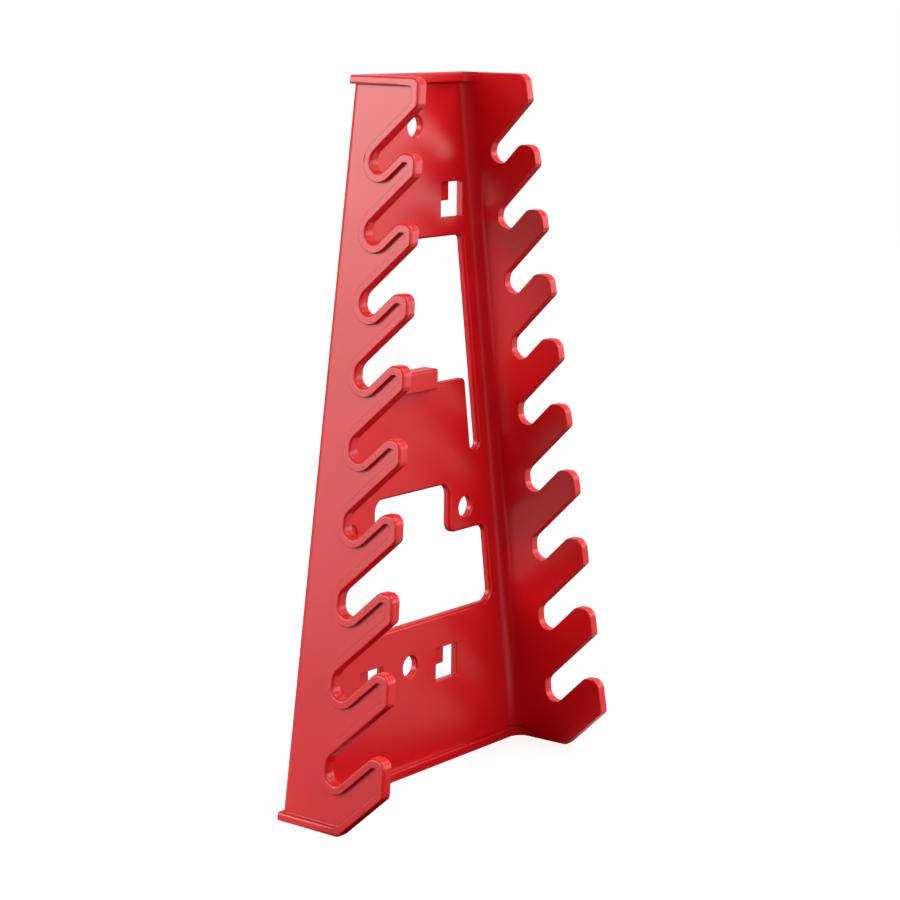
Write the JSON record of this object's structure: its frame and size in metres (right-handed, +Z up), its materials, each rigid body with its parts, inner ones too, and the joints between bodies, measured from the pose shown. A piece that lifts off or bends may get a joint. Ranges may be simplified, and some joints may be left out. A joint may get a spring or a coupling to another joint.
{
  "type": "wrench rack",
  "caption": "Tapered wall rack, moulded in one piece, with slanted hooks along both side flanges that carry wrenches laid across it.",
  "frame": {"origin": "on the plane of the foot, midway across and midway between the wall face and the front of the hooks", "axes": "+X across the rack to the viewer's right, +Y back towards the wall, +Z up; the hooks open towards -Y"},
  "size_m": [0.12, 0.0388, 0.22],
  "materials": {
    "red_plastic": "semi-gloss moulded plastic"
  },
  "bodies": {
    "root": {"rack_body": "red_plastic"}
  },
  "joints": []
}
